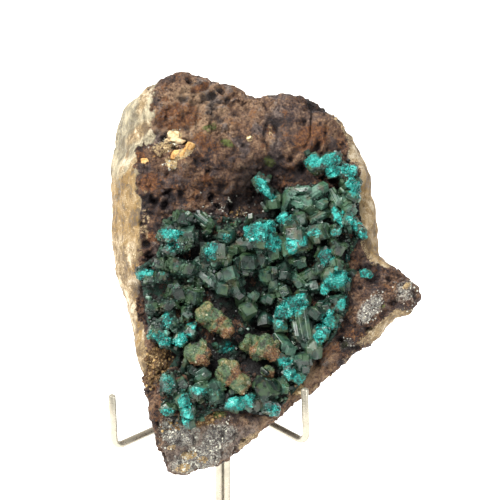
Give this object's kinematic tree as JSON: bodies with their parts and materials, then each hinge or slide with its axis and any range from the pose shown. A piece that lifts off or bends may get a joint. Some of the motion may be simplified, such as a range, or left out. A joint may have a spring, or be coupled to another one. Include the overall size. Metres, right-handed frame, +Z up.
{
  "type": "dioptase specimen on a wire stand",
  "caption": "Green dioptase crystals over an iron-stained matrix, leaning back on a bent-wire three-prong display stand.",
  "frame": {"origin": "on the floor under the middle of the whole object's bounding box", "axes": "+Z up, +X to the viewer's right, the crystal-covered face leans back and looks towards -Y"},
  "size_m": [0.0666, 0.0642, 0.1057],
  "materials": {
    "wire": "nickel-plated, bright, slightly worn",
    "braze": "nickel-plated braze, satin",
    "matrix": "pitted limonite with rust, tan and grey patches",
    "dioptase": "vitreous, dark green to bright turquoise"
  },
  "bodies": {
    "root": {"stand_wire_left": "wire", "stand_wire_right": "wire", "stand_wire_back": "wire", "stand_collar": "braze", "matrix_rock": "matrix", "dioptase_crust": "dioptase", "dioptase_fleck": "dioptase"}
  },
  "joints": []
}
